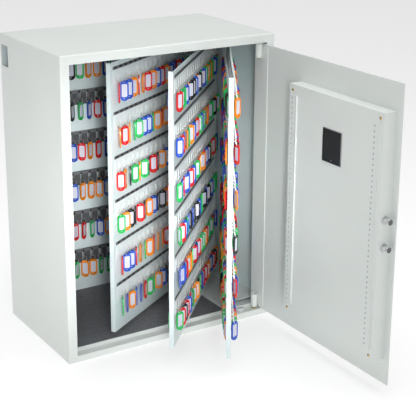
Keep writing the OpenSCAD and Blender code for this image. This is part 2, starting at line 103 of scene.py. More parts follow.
# Number strips: their height and thickness, and the squares and dots on them
STRIP_H = 8 * MM
STRIP_T = 0.8 * MM
SQUARE = (13 * MM, 5.6 * MM)
SQUARE_DEPTHS = (0.5 * MM, 1 * MM)
DOT_R = 2.9 * MM

# How a ring and its tag hang from a hook
RING_R = 7 * MM
RING_WIRE = 1.4 * MM
RING_TILT = radians(21)
RING_OUT = 3.8 * MM
RING_TOP = 2.99 * MM

# Key tags: half width, bottom and top of the window, measured from the ring hole
TAG_TOP = 4 * MM
TAG_WINDOW = (7.3 * MM, -37.6 * MM, -4.4 * MM)
SOLID_WINDOW = (5.4 * MM, -23 * MM, -20.4 * MM)
RING_HOLE_R = 1.5 * MM
END_HOLE = (3 * MM, 2 * MM)
END_HOLE_UP = 5.8 * MM
LABEL_IN = 0.6 * MM
LABEL_RULES = 3
TAG_COLORS = ("blue", "green", "red", "orange", "black")
TAG_SHARES = (24, 24, 20, 20, 12)

# Tags without a window, as (leaf, side, row, hook) with their colour
SOLID_TAGS = {(3, 1, 2, 19): "red", (3, 1, 3, 18): "orange"}


# ---------- places ----------

def hinge(name):
    """Place of a hinge, and the turn from its shut to its open stop."""
    joint = JOINTS[name]
    return Matrix.Translation(joint["pos_m"]), Matrix.Rotation(-radians(joint["range_deg"][0]), 4, "Z")


def leaf_matrix(number):
    """A leaf's own frame: hinge axis at x = 0, free edge towards -X, front face towards -Y."""
    place, turn = hinge(f"leaf_{number}_hinge")
    return place @ turn


def door_matrix():
    """Turns a shape made on the shut door to the open door."""
    place, turn = hinge("door_hinge")
    return place @ turn @ place.inverted()


def local_box(node, matrix):
    """Lowest and highest corner of a CAD node in the frame that matrix gives."""
    back = matrix.inverted()
    points = [back @ v.co for v in NODES[node].data.vertices]
    low = Vector([min(p[k] for p in points) for k in range(3)])
    high = Vector([max(p[k] for p in points) for k in range(3)])
    return low, high


def leaf_hooks(side):
    """Row, number and place of every hook on one leaf side."""
    face = LEAF_SKIN[side] + OUTWARD[side] * RAIL_SHEET
    for row, z in enumerate(LEAF_ROWS_Z):
        for n, x in enumerate(LEAF_HOOKS_X):
            spot = Matrix.Translation((x, face, z - HOOK_DROP))
            yield row, n, spot @ Matrix.Rotation(pi * side, 4, "Z")


def wall_hooks():
    """Row, number and place of every hook on the back wall."""
    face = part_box("wall_hook_rails")[1].y - WALL_RAIL_D
    for row, z in enumerate(WALL_ROWS_Z):
        for n, x in enumerate(WALL_HOOKS_X):
            yield row, n, Matrix.Translation((x, face, z - HOOK_DROP))


# ---------- meshes ----------

def finish_piece(name, bm, body, materials, smooth=35, weighted=True):
    """Turns a bmesh into a piece that rides on a body."""
    mesh = bpy.data.meshes.new(name)
    bm.to_mesh(mesh)
    bm.free()
    mesh.shade_smooth()
    mesh.set_sharp_from_angle(angle=radians(smooth))
    for material in materials:
        mesh.materials.append(material)
    piece = bpy.data.objects.new(name, mesh)
    bpy.context.scene.collection.objects.link(piece)
    if weighted:
        normals = piece.modifiers.new("flat faces", "WEIGHTED_NORMAL")
        normals.keep_sharp = True
    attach(piece, body)
    return piece


def bevel(bm, edges, radius, segments=3):
    bmesh.ops.bevel(bm, geom=edges, offset=radius, offset_type="OFFSET", segments=segments, profile=0.5,
                    affect="EDGES", clamp_overlap=True, material=-1)


def cut_plane(bm, point, normal):
    """Cuts every face that a plane crosses."""
    bmesh.ops.bisect_plane(bm, geom=bm.verts[:] + bm.edges[:] + bm.faces[:], dist=1e-7,
                           plane_co=point, plane_no=normal)


def new_geometry(made, kind):
    """The vertices, edges or faces that an extrusion made."""
    return [g for g in made["geom"] if isinstance(g, kind)]


def sharp_edges(bm, angle=40):
    return [e for e in bm.edges if e.is_manifold and e.calc_face_angle() > radians(angle)]


def add_box(bm, low, high, matrix=Matrix.Identity(4), material=0):
    """Adds a box from corner to corner and returns its vertices."""
    low, high = Vector(low), Vector(high)
    middle = Matrix.Translation((low + high) / 2)
    made = bmesh.ops.create_cube(bm, size=1, matrix=matrix @ middle @ Matrix.Diagonal((*(high - low), 1)))
    for face in {f for v in made["verts"] for f in v.link_faces}:
        face.material_index = material
    return made["verts"]


def add_rod(bm, start, end, radius, segments, material=0):
    """Adds a closed cylinder from start to end."""
    start, end = Vector(start), Vector(end)
    along = end - start
    matrix = Matrix.Translation((start + end) / 2) @ along.to_track_quat("Z", "Y").to_matrix().to_4x4()
    made = bmesh.ops.create_cone(bm, cap_ends=True, segments=segments, radius1=radius, radius2=radius,
                                 depth=along.length, matrix=matrix)
    for face in {f for v in made["verts"] for f in v.link_faces}:
        face.material_index = material


def rounded_copy(name, node, body, material, radius, segments=3):
    """A copy of a CAD node with its edges rounded, which stands for the node."""
    bm = bmesh.new()
    bm.from_mesh(NODES[node].data)
    bmesh.ops.remove_doubles(bm, verts=bm.verts, dist=0.002 * MM)
    bmesh.ops.dissolve_limit(bm, angle_limit=radians(1), verts=bm.verts, edges=bm.edges)
    bevel(bm, sharp_edges(bm), radius, segments)
    piece = finish_piece(name, bm, body, [material])
    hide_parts(node)
    return piece


def stamped(name, stamps, body, materials, smooth=35):
    """One piece made of many copies: stamps is a list of (mesh, matrix)."""
    bm = bmesh.new()
    for mesh, matrix in stamps:
        copy = mesh.copy()
        copy.transform(matrix)
        bm.from_mesh(copy)
        bpy.data.meshes.remove(copy)
    return finish_piece(name, bm, body, materials, smooth, weighted=False)


def template(bm, name):
    """Turns a bmesh into a mesh that stamped copies are made from."""
    mesh = bpy.data.meshes.new(name)
    bm.to_mesh(mesh)
    bm.free()
    return mesh


# ---------- materials ----------

# Sockets of a colour mix, which follow those for numbers and vectors
MIX_COLORS = (6, 7)
MIX_RESULT = 2


class Finish:
    """A node material with short helpers for the nodes that finishes share."""

    def __init__(self, name, color, roughness, metallic=0.0):
        self.material = bpy.data.materials.new(name)
        self.material.use_nodes = True
        self.material.diffuse_color = (*color, 1)
        self.tree = self.material.node_tree
        self.shader = self.tree.nodes["Principled BSDF"]
        self.shader.inputs["Base Color"].default_value = (*color, 1)
        self.shader.inputs["Roughness"].default_value = roughness
        self.shader.inputs["Metallic"].default_value = metallic
        self.coords = self.node("ShaderNodeTexCoord").outputs["Object"]

    def link(self, a, b):
        self.tree.links.new(a, b)

    def node(self, kind, **inputs):
        """Adds a node and sets its inputs, whose names have _ for a space."""
        made = self.tree.nodes.new(kind)
        for key, value in inputs.items():
            made.inputs[key.replace("_", " ")].default_value = value
        return made

    def noise(self, scale, detail=3.0, stretch=None, roughness=0.5):
        """A noise texture in object space. Its scale is in waves a metre."""
        made = self.node("ShaderNodeTexNoise", Scale=scale, Detail=detail, Roughness=roughness)
        place = self.coords
        if stretch:
            mapping = self.node("ShaderNodeMapping", Scale=stretch)
            self.link(self.coords, mapping.inputs["Vector"])
            place = mapping.outputs["Vector"]
        self.link(place, made.inputs["Vector"])
        return made.outputs["Fac"]

    def ramp(self, value, low, high, from_low=0.3, from_high=0.7):
        """Maps a texture value to numbers between low and high."""
        made = self.node("ShaderNodeMapRange", From_Min=from_low, From_Max=from_high, To_Min=low, To_Max=high)
        self.link(value, made.inputs["Value"])
        return made.outputs["Result"]

    def mix(self, factor, a, b):
        """Mixes two colours, each a tuple or a socket."""
        made = self.node("ShaderNodeMix")
        made.data_type = "RGBA"
        self.link(factor, made.inputs["Factor"])
        for index, value in zip(MIX_COLORS, (a, b)):
            if isinstance(value, tuple):
                made.inputs[index].default_value = (*value, 1)
            else:
                self.link(value, made.inputs[index])
        return made.outputs[MIX_RESULT]

    def base(self, socket):
        self.link(socket, self.shader.inputs["Base Color"])

    def rough(self, socket):
        self.link(socket, self.shader.inputs["Roughness"])

    def bump(self, *layers):
        """Adds bump layers, each (height socket, strength, depth in metres)."""
        normal = None
        for height, strength, distance in layers:
            made = self.node("ShaderNodeBump", Strength=strength, Distance=distance)
            self.link(height, made.inputs["Height"])
            if normal:
                self.link(normal, made.inputs["Normal"])
            normal = made.outputs["Normal"]
        self.link(normal, self.shader.inputs["Normal"])


def shade(color, factor):
    """A colour made darker or lighter."""
    return tuple(min(1.0, c * factor) for c in color)


def powder_coat(name, color, roughness=0.38, peel=0.25):
    """Satin powder coat: fine orange peel, a faint cloudiness and soft gloss changes."""
    finish = Finish(name, color, roughness)
    cloud = finish.noise(5, 4)
    fine = finish.noise(900, 2)
    waves = finish.noise(160, 2)
    finish.base(finish.mix(finish.ramp(cloud, 0, 1), shade(color, 0.975), shade(color, 1.015)))
    finish.rough(finish.ramp(waves, roughness - 0.04, roughness + 0.05))
    finish.bump((waves, peel, 0.05 * MM), (fine, peel * 0.6, 0.02 * MM))
    finish.shader.inputs["Coat Weight"].default_value = 0.12
    finish.shader.inputs["Coat Roughness"].default_value = 0.22
    return finish.material


def brushed_metal(name, color, roughness, stretch=(1, 1, 30)):
    """Turned or plated metal with fine lines across the stretch axis."""
    finish = Finish(name, color, roughness, metallic=1.0)
    lines = finish.noise(300, 2, stretch)
    patch = finish.noise(60, 3)
    finish.base(finish.mix(finish.ramp(patch, 0, 1), shade(color, 0.88), shade(color, 1.05)))
    finish.rough(finish.ramp(lines, roughness * 0.7, roughness * 1.4))
    finish.bump((lines, 0.15, 0.02 * MM))
    return finish.material


def moulded_plastic(name, color, roughness, grain=0.2):
    """Moulded plastic: fine mould grain and slight colour drift."""
    finish = Finish(name, color, roughness)
    drift = finish.noise(35, 2)
    grit = finish.noise(1500, 2)
    finish.base(finish.mix(finish.ramp(drift, 0, 1), shade(color, 0.9), shade(color, 1.08)))
    finish.rough(finish.ramp(grit, roughness - 0.07, roughness + 0.07))
    finish.bump((grit, grain, 0.03 * MM))
    return finish.material


def needle_felt(name, color):
    """Grey needle felt: mottled fibres in two greys, lighter where the bump rises and darker in its pits,
    partly fibre colour and partly painted shade.
    """
    finish = Finish(name, color, 0.95)
    fibres = finish.noise(420, 6, roughness=0.75)
    clumps = finish.noise(75, 4, roughness=0.6)
    speck = finish.noise(900, 2)
    mottled = finish.mix(finish.ramp(clumps, 0, 1, 0.35, 0.65), shade(color, 0.62), shade(color, 1.3))
    # one noise lifts the bump and lightens the colour, so the pits are darker: partly fibre colour, partly
    # painted shade
    finish.base(finish.mix(finish.ramp(fibres, 0, 1, 0.4, 0.62), mottled, shade(color, 1.75)))
    finish.bump((fibres, 0.9, 1.2 * MM), (speck, 0.5, 0.5 * MM))
    finish.shader.inputs["Sheen Weight"].default_value = 0.25
    return finish.material


def label_paper(name, color, rule_color=(0.45, 0.47, 0.62)):
    """White paper with faint ruled lines along the label, on the piece's own UV map."""
    finish = Finish(name, color, 0.7)
    uv = finish.node("ShaderNodeUVMap")
    wave = finish.node("ShaderNodeTexWave", Scale=0.95, Distortion=0.0)
    wave.bands_direction = "X"
    finish.link(uv.outputs["UV"], wave.inputs["Vector"])
    rule = finish.ramp(wave.outputs["Fac"], 0, 1, 0.9, 1.0)
    grain = finish.noise(800, 3)
    paper = finish.mix(finish.ramp(grain, 0, 1), shade(color, 0.95), color)
    finish.base(finish.mix(rule, paper, rule_color))
    finish.bump((grain, 0.2, 0.03 * MM))
    return finish.material


def studio_floor(name, color):
    """Matt white paper that glows faintly, so that shadows on it stay soft and pale."""
    finish = Finish(name, color, 0.95)
    grain = finish.noise(3, 2)
    finish.base(finish.mix(finish.ramp(grain, 0, 1), shade(color, 0.99), color))
    finish.shader.inputs["Emission Color"].default_value = (1, 1, 1, 1)
    finish.shader.inputs["Emission Strength"].default_value = 0.52
    return finish.material


MATERIALS = {}


def make_materials(settings):
    """Makes every finish of the cabinet by name."""
    MATERIALS.update({
        "body paint": powder_coat("body paint", tuple(settings.body_color)),
        "rail paint": powder_coat("rail paint", tuple(settings.rail_color), 0.34),
        "leaf paint": powder_coat("leaf paint", tuple(settings.inner_color), 0.3, 0.18),
        "inner paint": powder_coat("inner paint", tuple(settings.inner_color)),
        "anthracite paint": powder_coat("anthracite paint", (0.075, 0.078, 0.085), 0.42),
        "strip": moulded_plastic("number strip", (0.15, 0.155, 0.16), 0.5),
        "strip square": moulded_plastic("number square", (0.014, 0.014, 0.016), 0.3),
        "carpet": needle_felt("needle felt", tuple(settings.carpet_color)),
        "zinc": brushed_metal("zinc plate", (0.62, 0.63, 0.64), 0.32),
        "ring steel": brushed_metal("ring steel", (0.92, 0.92, 0.93), 0.34, (1, 1, 4)),
        "hook steel": brushed_metal("hook steel", (0.80, 0.81, 0.82), 0.3, (30, 30, 1)),
        "chrome": brushed_metal("chrome", (0.82, 0.83, 0.84), 0.09, (1, 30, 1)),
        "bolt face and slot shade": brushed_metal("bolt end face", (0.16, 0.16, 0.17), 0.35, (6, 1, 6)),
        "brass": brushed_metal("brass", (0.66, 0.47, 0.19), 0.24, (1, 1, 20)),
        "black plastic": moulded_plastic("black plastic", (0.012, 0.012, 0.014), 0.38),
        "light plastic": moulded_plastic("light plastic", (0.66, 0.69, 0.70), 0.4),
        "rubber": moulded_plastic("key rubber", (0.34, 0.36, 0.38), 0.6),
        "legend": moulded_plastic("key legend", (0.85, 0.86, 0.87), 0.5),
        "board": moulded_plastic("solder mask", (0.02, 0.12, 0.06), 0.3),
        # painted shade: the grey-blue sheet seen through the holes of the index strips
        "card": moulded_plastic("index card", (0.30, 0.37, 0.40), 0.7),
        "cell": moulded_plastic("cell wrap", (0.05, 0.07, 0.16), 0.28),
        "paper": label_paper("label paper", (0.62, 0.63, 0.71)),
        "backdrop": studio_floor("studio floor", (0.6, 0.6, 0.6)),
    })
    for color in TAG_COLORS:
        name = f"tag {color}"
        MATERIALS[name] = moulded_plastic(name, tuple(getattr(settings, color)), 0.26, 0.08)


def finish_node(node, material):
    """Gives a CAD node that stays its finish."""
    slots = NODES[node].data.materials
    slots.clear()
    slots.append(MATERIALS[material])


# ---------- settings ----------

def color_setting(name, description, value):
    return bpy.props.FloatVectorProperty(name=name, description=description, default=value, min=0, max=1,
                                         size=3, subtype="COLOR")


def length_setting(name, description, value):
    return bpy.props.FloatProperty(name=name, description=description, default=value, min=0, unit="LENGTH",
                                   subtype="DISTANCE")


class CabinetSettings(bpy.types.PropertyGroup):
    """Paint and edges of the cabinet."""

    body_color: color_setting("Body paint", "Colour of the body, door and cover", (0.76, 0.80, 0.775))
    rail_color: color_setting("Rail paint", "Colour of the hook rails on the leaves", (0.74, 0.79, 0.80))
    inner_color: color_setting("Inner paint", "Colour of the inside and the leaves", (0.66, 0.75, 0.76))
    carpet_color: color_setting("Carpet", "Main grey of the floor felt", (0.085, 0.09, 0.10))
    edge_radius: length_setting("Edge radius", "Radius of the body's outer edges", 3.5 * MM)
    blue: color_setting("Blue tags", "Colour of the blue tags", (0.02, 0.085, 0.50))
    green: color_setting("Green tags", "Colour of the green tags", (0.02, 0.46, 0.10))
    red: color_setting("Red tags", "Colour of the red tags", (0.66, 0.012, 0.010))
    orange: color_setting("Orange tags", "Colour of the orange tags", (0.87, 0.26, 0.008))
    black: color_setting("Black tags", "Colour of the black tags", (0.010, 0.010, 0.012))


class TagSettings(bpy.types.PropertyGroup):
    """Size of the key tags and how they hang."""

    length: length_setting("Tag length", "Length of a key tag", 52 * MM)
    width: length_setting("Tag width", "Width of a key tag", 22 * MM)
    thickness: length_setting("Tag thickness", "Thickness of a key tag", 3 * MM)
    seed: bpy.props.IntProperty(name="Seed", description="Order of the tag colours and turns", default=7)


class StageSettings(bpy.types.PropertyGroup):
    """Camera and lights."""

    focal_length: bpy.props.FloatProperty(name="Focal length", description="Camera lens in millimetres",
                                          default=97.65, min=10, max=300)
    key_power: bpy.props.FloatProperty(name="Key light", description="Power of the main soft light",
                                       default=9, min=0, unit="POWER")
    fill_power: bpy.props.FloatProperty(name="Fill light", description="Power of the side light",
                                        default=2, min=0, unit="POWER")
    inside_power: bpy.props.FloatProperty(name="Inside light", description="Power of the light on the leaves",
                                          default=1.6, min=0, unit="POWER")
    top_power: bpy.props.FloatProperty(name="Top light", description="Power of the light overhead",
                                       default=48, min=0, unit="POWER")
    world_strength: bpy.props.FloatProperty(name="Surround", description="Strength of the white surround",
                                            default=0.42, min=0)


# ---------- stage ----------

class KEYCABINET_OT_stage(bpy.types.Operator):
    """Make the camera, the soft lights and the pale floor"""

    bl_idname = "keycabinet.stage"
    bl_label = "Stage"

    def execute(self, context):
        settings = context.scene.stage_settings
        make_materials(context.scene.cabinet_settings)
        self.add_camera(context, settings)
        self.add_floor(context)
        self.add_light(context, "key light", (-1.7, -3.2, 1.5), 2.2, settings.key_power)
        self.add_light(context, "fill light", (2.6, -1.6, 1.5), 2.0, settings.fill_power)
        self.add_light(context, "top light", (0.0, -0.4, 3.2), 2.4, settings.top_power)
        self.add_light(context, "inside light", (-0.75, -1.9, 0.75), 0.5, settings.inside_power,
                       spread=24, aim=(0.04, 0, 0.38))
        world = bpy.data.worlds.new("white surround")
        world.use_nodes = True
        background = world.node_tree.nodes["Background"]
        background.inputs["Color"].default_value = (1, 1, 1, 1)
        background.inputs["Strength"].default_value = settings.world_strength
        context.scene.world = world
        context.scene.view_settings.view_transform = "Standard"
        return {"FINISHED"}

    def add_camera(self, context, settings):
        place = Vector((-1.4082, -2.5723, 1.3306))
        yaw, pitch, roll = radians(32.341), radians(17.015), radians(0.37)
        forward = Vector((sin(yaw) * cos(pitch), cos(yaw) * cos(pitch), -sin(pitch)))
        level = Vector((cos(yaw), -sin(yaw), 0))
        upright = level.cross(forward)
        right = level * cos(roll) + upright * sin(roll)
        up = upright * cos(roll) - level * sin(roll)
        camera = bpy.data.objects.new("camera", bpy.data.cameras.new("camera"))
        context.scene.collection.objects.link(camera)
        turn = Matrix((right, up, -forward)).transposed().to_4x4()
        camera.matrix_world = Matrix.Translation(place) @ turn
        camera.data.lens = settings.focal_length
        camera.data.sensor_width = 36
        camera.data.shift_y = -0.1
        camera.data.clip_end = 50
        context.scene.camera = camera

    def add_floor(self, context):
        bm = bmesh.new()
        bmesh.ops.create_circle(bm, cap_ends=True, segments=64, radius=14)
        mesh = template(bm, "studio floor")
        mesh.materials.append(MATERIALS["backdrop"])
        floor = bpy.data.objects.new("studio_floor", mesh)
        floor.location.z = -0.5 * MM
        context.scene.collection.objects.link(floor)

    def add_light(self, context, name, place, size, power, spread=180, aim=(0, 0, 0.4)):
        lamp = bpy.data.lights.new(name, "AREA")
        lamp.size = size
        lamp.energy = power
        lamp.spread = radians(spread)
        light = bpy.data.objects.new(name, lamp)
        light.location = place
        light.rotation_euler = (Vector(aim) - Vector(place)).to_track_quat("-Z", "Y").to_euler()
        light.visible_camera = False
        context.scene.collection.objects.link(light)


# ---------- cabinet ----------

class KEYCABINET_OT_shell(bpy.types.Operator):
    """Make the folded steel shell with its front opening and side slot"""

    bl_idname = "keycabinet.shell"
    bl_label = "Cabinet shell"

    def execute(self, context):
        low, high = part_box("body_wrap")
        low.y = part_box("front_frame")[0].y
        bm = bmesh.new()
        add_box(bm, low, high)
        back = [f for f in bm.faces if f.normal.y > 0.9]
        bmesh.ops.delete(bm, geom=back, context="FACES_ONLY")
        self.open_front(bm, low, high)
        outer = [e for e in bm.edges if self.is_outer(e, low, high)]
        bevel(bm, outer, context.scene.cabinet_settings.edge_radius, 4)
        self.cut_slot(bm, low, high)
        self.paint_inside(bm, low, high)
        paints = [MATERIALS["body paint"], MATERIALS["inner paint"]]
        shell = finish_piece("cabinet_shell", bm, "cabinet", paints, 30)
        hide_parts("body_wrap", "front_frame")
        finish_node("back_panel", "inner paint")
        return {"FINISHED"}

    def open_front(self, bm, low, high):
        """Cuts the opening in the front face, then walls the inside up to the back."""
        front = next(f for f in bm.faces if f.normal.y < -0.9)
        bmesh.ops.inset_region(bm, faces=[front], thickness=FRAME_W / 2, use_even_offset=True)
        self.fit(front, low.x + FRAME_W, OPENING_Z[0], high.x - FRAME_W, OPENING_Z[1])
        behind_frame = self.push_in(bm, front, BODY_SHEET)
        inside = self.push_in(bm, behind_frame, 0)
        self.fit(inside, low.x + BODY_SHEET, low.z + BODY_SHEET, high.x - BODY_SHEET, high.z - BODY_SHEET)
        back = self.push_in(bm, inside, high.y - low.y - BODY_SHEET)
        inner = list(back.edges)
        bmesh.ops.delete(bm, geom=[back], context="FACES_ONLY")
        outer = [e for e in bm.edges if e.is_boundary and e not in inner]
        bmesh.ops.bridge_loops(bm, edges=inner + outer)
        bmesh.ops.recalc_face_normals(bm, faces=bm.faces)

    def fit(self, face, x0, z0, x1, z1):
        """Puts the four corners of an upright face on a rectangle."""
        middle = face.calc_center_median()
        for v in face.verts:
            v.co.x = x0 if v.co.x < middle.x else x1
            v.co.z = z0 if v.co.z < middle.z else z1

    def push_in(self, bm, face, depth):
        """Moves a face to the back and leaves walls where it went."""
        made = bmesh.ops.extrude_face_region(bm, geom=[face])
        bmesh.ops.delete(bm, geom=[face], context="FACES_ONLY")
        moved = new_geometry(made, bmesh.types.BMFace)[0]
        bmesh.ops.translate(bm, verts=list(moved.verts), vec=(0, depth, 0))
        return moved

    def is_outer(self, edge, low, high):
        """True for an edge along the outside of the body, apart from the back."""
        a, b = (v.co for v in edge.verts)
        near = 0.01 * MM

        def on(k, value):
            return abs(a[k] - value) < near and abs(b[k] - value) < near

        sides = on(0, low.x) + on(0, high.x) + on(2, low.z) + on(2, high.z) + on(1, low.y)
        return sides >= 2

    def cut_slot(self, bm, low, high):
        """Cuts the slot near the top of the left side and closes its rim."""
        y1, z1 = high.y - SLOT_BACK, high.z - SLOT_TOP
        y0, z0 = y1 - SLOT_SIZE[0], z1 - SLOT_SIZE[1]
        for y in (y0, y1):
            cut_plane(bm, (0, y, 0), (0, 1, 0))
        for z in (z0, z1):
            cut_plane(bm, (0, 0, z), (0, 0, 1))
        cut = []
        for face in bm.faces:
            x, y, z = face.calc_center_median()
            if abs(face.normal.x) > 0.9 and x < low.x + BODY_SHEET + MM and y0 < y < y1 and z0 < z < z1:
                cut.append(face)
        rims = [e for face in cut for e in face.edges]
        bmesh.ops.delete(bm, geom=cut, context="FACES_ONLY")
        bmesh.ops.bridge_loops(bm, edges=rims)

    def paint_inside(self, bm, low, high):
        """Gives the faces inside the body the second material."""
        for face in bm.faces:
            x, y, z = face.calc_center_median()
            if low.x + MM < x < high.x - MM and low.z + MM < z < high.z - MM and y > low.y + MM:
                face.material_index = 1


class KEYCABINET_OT_sheet_parts(bpy.types.Operator):
    """Round the edges of the sheet steel parts that are fixed in the cabinet"""

    bl_idname = "keycabinet.sheet_parts"
    bl_label = "Sill, head rail and brackets"

    def execute(self, context):
        for name, node, material, slot, radius in (
                ("sill_ledge", "door_sill", "body paint", "white_paint", 0.9),
                ("head_rail_fold", "head_rail", "body paint", "white_paint", 0.6),
                ("lower_leaf_bracket", "leaf_bracket_lower", "body paint", "grey_paint", 0.9),
                ("upper_leaf_bracket", "leaf_bracket_upper", "body paint", "grey_paint", 0.6),
                ("sill_glide_block", "sill_glide", "light plastic", "white_paint", 1.2)):
            piece = rounded_copy(name, node, "cabinet", MATERIALS[material], radius * MM)
        finish_node("floor_plate", "rail paint")
        finish_node("leaf_pins", "zinc")
        finish_node("door_pins", "brass")
        return {"FINISHED"}


class KEYCABINET_OT_carpet(bpy.types.Operator):
    """Make the felt carpet with an uneven pile and a soft front edge"""

    bl_idname = "keycabinet.carpet"
    bl_label = "Carpet"

    def execute(self, context):
        low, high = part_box("floor_carpet")
        pile = 0.7 * MM
        bm = bmesh.new()
        add_box(bm, low, high)
        top = [e for e in bm.edges if all(v.co.z > high.z - 0.1 * MM for v in e.verts)]
        bevel(bm, top, 1.2 * MM, 3)
        lid = max(bm.faces, key=lambda f: f.calc_area() * f.normal.z)
        bmesh.ops.subdivide_edges(bm, edges=list(lid.edges), cuts=90, use_grid_fill=True)
        draw = random.Random(3)
        for v in bm.verts:
            if v.co.z > high.z - 0.05 * MM:
                v.co.z -= draw.uniform(0, pile)
        carpet = finish_piece("felt_carpet", bm, "cabinet", [MATERIALS["carpet"]], 60, weighted=False)
        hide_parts("floor_carpet")
        return {"FINISHED"}


# ---------- hooks, rings and tags ----------

def pressed_rail(x0, x1, hooks_x, height, depth=0):
    """A rail of sheet with a cut behind every hook. Its top edge is at z = 0 and its back on y = 0."""
    cut_z0 = RAIL_DROP - HOOK_DROP + HOOK_CUT_GAP
    cut_z1 = cut_z0 + HOOK_CUT_H
    bm = bmesh.new()
    sheet = Matrix.Translation(((x0 + x1) / 2, 0, -height / 2)) @ Matrix.Rotation(pi / 2, 4, "X")
    bmesh.ops.create_grid(bm, x_segments=1, y_segments=1, size=0.5,
                          matrix=sheet @ Matrix.Diagonal((x1 - x0, height, 1, 1)))
    for x in hooks_x:
        for side in (-1, 1):
            cut_plane(bm, (x + side * HOOK_CUT_W / 2, 0, 0), (1, 0, 0))
    for z in (cut_z0, cut_z1):
        cut_plane(bm, (0, 0, z), (0, 0, 1))
    holes = []
    for face in bm.faces:
        middle = face.calc_center_median()
        if cut_z0 < middle.z < cut_z1 and any(abs(middle.x - x) < HOOK_CUT_W / 2 for x in hooks_x):
            holes.append(face)
    bmesh.ops.delete(bm, geom=holes, context="FACES")
    made = bmesh.ops.extrude_face_region(bm, geom=bm.faces[:])
    front = new_geometry(made, bmesh.types.BMVert)
    bmesh.ops.translate(bm, verts=front, vec=(0, -RAIL_SHEET, 0))
    if depth:
        for z in (-RAIL_SHEET, -height):
            add_box(bm, (x0, -RAIL_SHEET, z), (x1, depth - RAIL_SHEET, z + RAIL_SHEET))
    bmesh.ops.recalc_face_normals(bm, faces=bm.faces)
    return template(bm, "hook rail")


def pressed_hook(material=0):
    """A tongue bent out of its rail and up, with a narrow tip. It stands on y = 0 towards -Y."""
    # Depth and height of its root and bends, in millimetres
    root, *bends = ((0.3, 0.2), (-4.2, 0.2), (-5.6, 1.0), (-6.4, 2.6), (-6.7, 16.0), (-6.4, 18.6))
    bm = bmesh.new()
    edge = bm.edges.new([bm.verts.new((x, root[0] * MM, root[1] * MM)) for x in (-HOOK_W / 2, HOOK_W / 2)])
    for y, z in bends:
        made = bmesh.ops.extrude_edge_only(bm, edges=[edge])
        edge = new_geometry(made, bmesh.types.BMEdge)[0]
        for v in edge.verts:
            v.co.yz = y * MM, z * MM
    bmesh.ops.scale(bm, verts=list(edge.verts), vec=(0.6, 1, 1))
    bmesh.ops.recalc_face_normals(bm, faces=bm.faces)
    bmesh.ops.solidify(bm, geom=bm.faces[:], thickness=RAIL_SHEET)
    bmesh.ops.recalc_face_normals(bm, faces=bm.faces)
    for face in bm.faces:
        face.material_index = material
    return template(bm, "hook")


def ring_template():
    """A split ring of two turns of flat wire, hanging from its top at the origin in the XZ plane."""
    bm = bmesh.new()
    half = RING_WIRE / 2
    eased = RING_R - 0.55 * MM
    section = [(RING_R + half, -half), (RING_R + half, half), (eased, half), (RING_R - half, 0),
               (eased, -half)]
    verts = [bm.verts.new((r, y, 0)) for r, y in section]
    edges = [bm.edges.new(pair) for pair in zip(verts, verts[1:] + verts[:1])]
    bmesh.ops.spin(bm, geom=verts + edges, cent=(0, 0, 0), axis=(0, 1, 0), angle=2 * pi, steps=18,
                   use_merge=True)
    bmesh.ops.remove_doubles(bm, verts=bm.verts, dist=0.01 * MM)
    bmesh.ops.recalc_face_normals(bm, faces=bm.faces)
    bmesh.ops.translate(bm, verts=bm.verts, vec=(0, 0, -RING_R))
    return template(bm, "split ring")


def add_outline(bm, points, y):
    """Adds a closed outline at one depth and returns its edges."""
    corners = [bm.verts.new((x, y, z)) for x, z in points]
    return [bm.edges.new(pair) for pair in zip(corners, corners[1:] + corners[:1])]


def arc(height, across, up, start, end, count=6):
    """Points at even steps on an oval arc about a height."""
    angles = [start + (end - start) * n / (count - 1) for n in range(count)]
    return [(across * cos(angle), height + up * sin(angle)) for angle in angles]


def oval(height, across, up):
    """Outline of a small hole, with six corners."""
    return arc(height, across, up, 0, pi * 5 / 3)


def stadium(width, z0, z1, squash=0.86):
    """Outline of a tag with rounded ends between two heights, from the upper right round."""
    rise = width / 2 * squash
    return arc(z1 - rise, width / 2, rise, 0, pi) + arc(z0 + rise, width / 2, rise, pi, 2 * pi)


def window_outline(half, z0, z1):
    """Outline of the window over the label, with eased corners."""
    low, high, inner = z0 + half * 0.35, z1 - half * 0.2, half * 0.75
    return [(half, low), (half, high), (inner, z1), (-inner, z1), (-half, high), (-half, low), (-inner, z0),
            (inner, z0)]


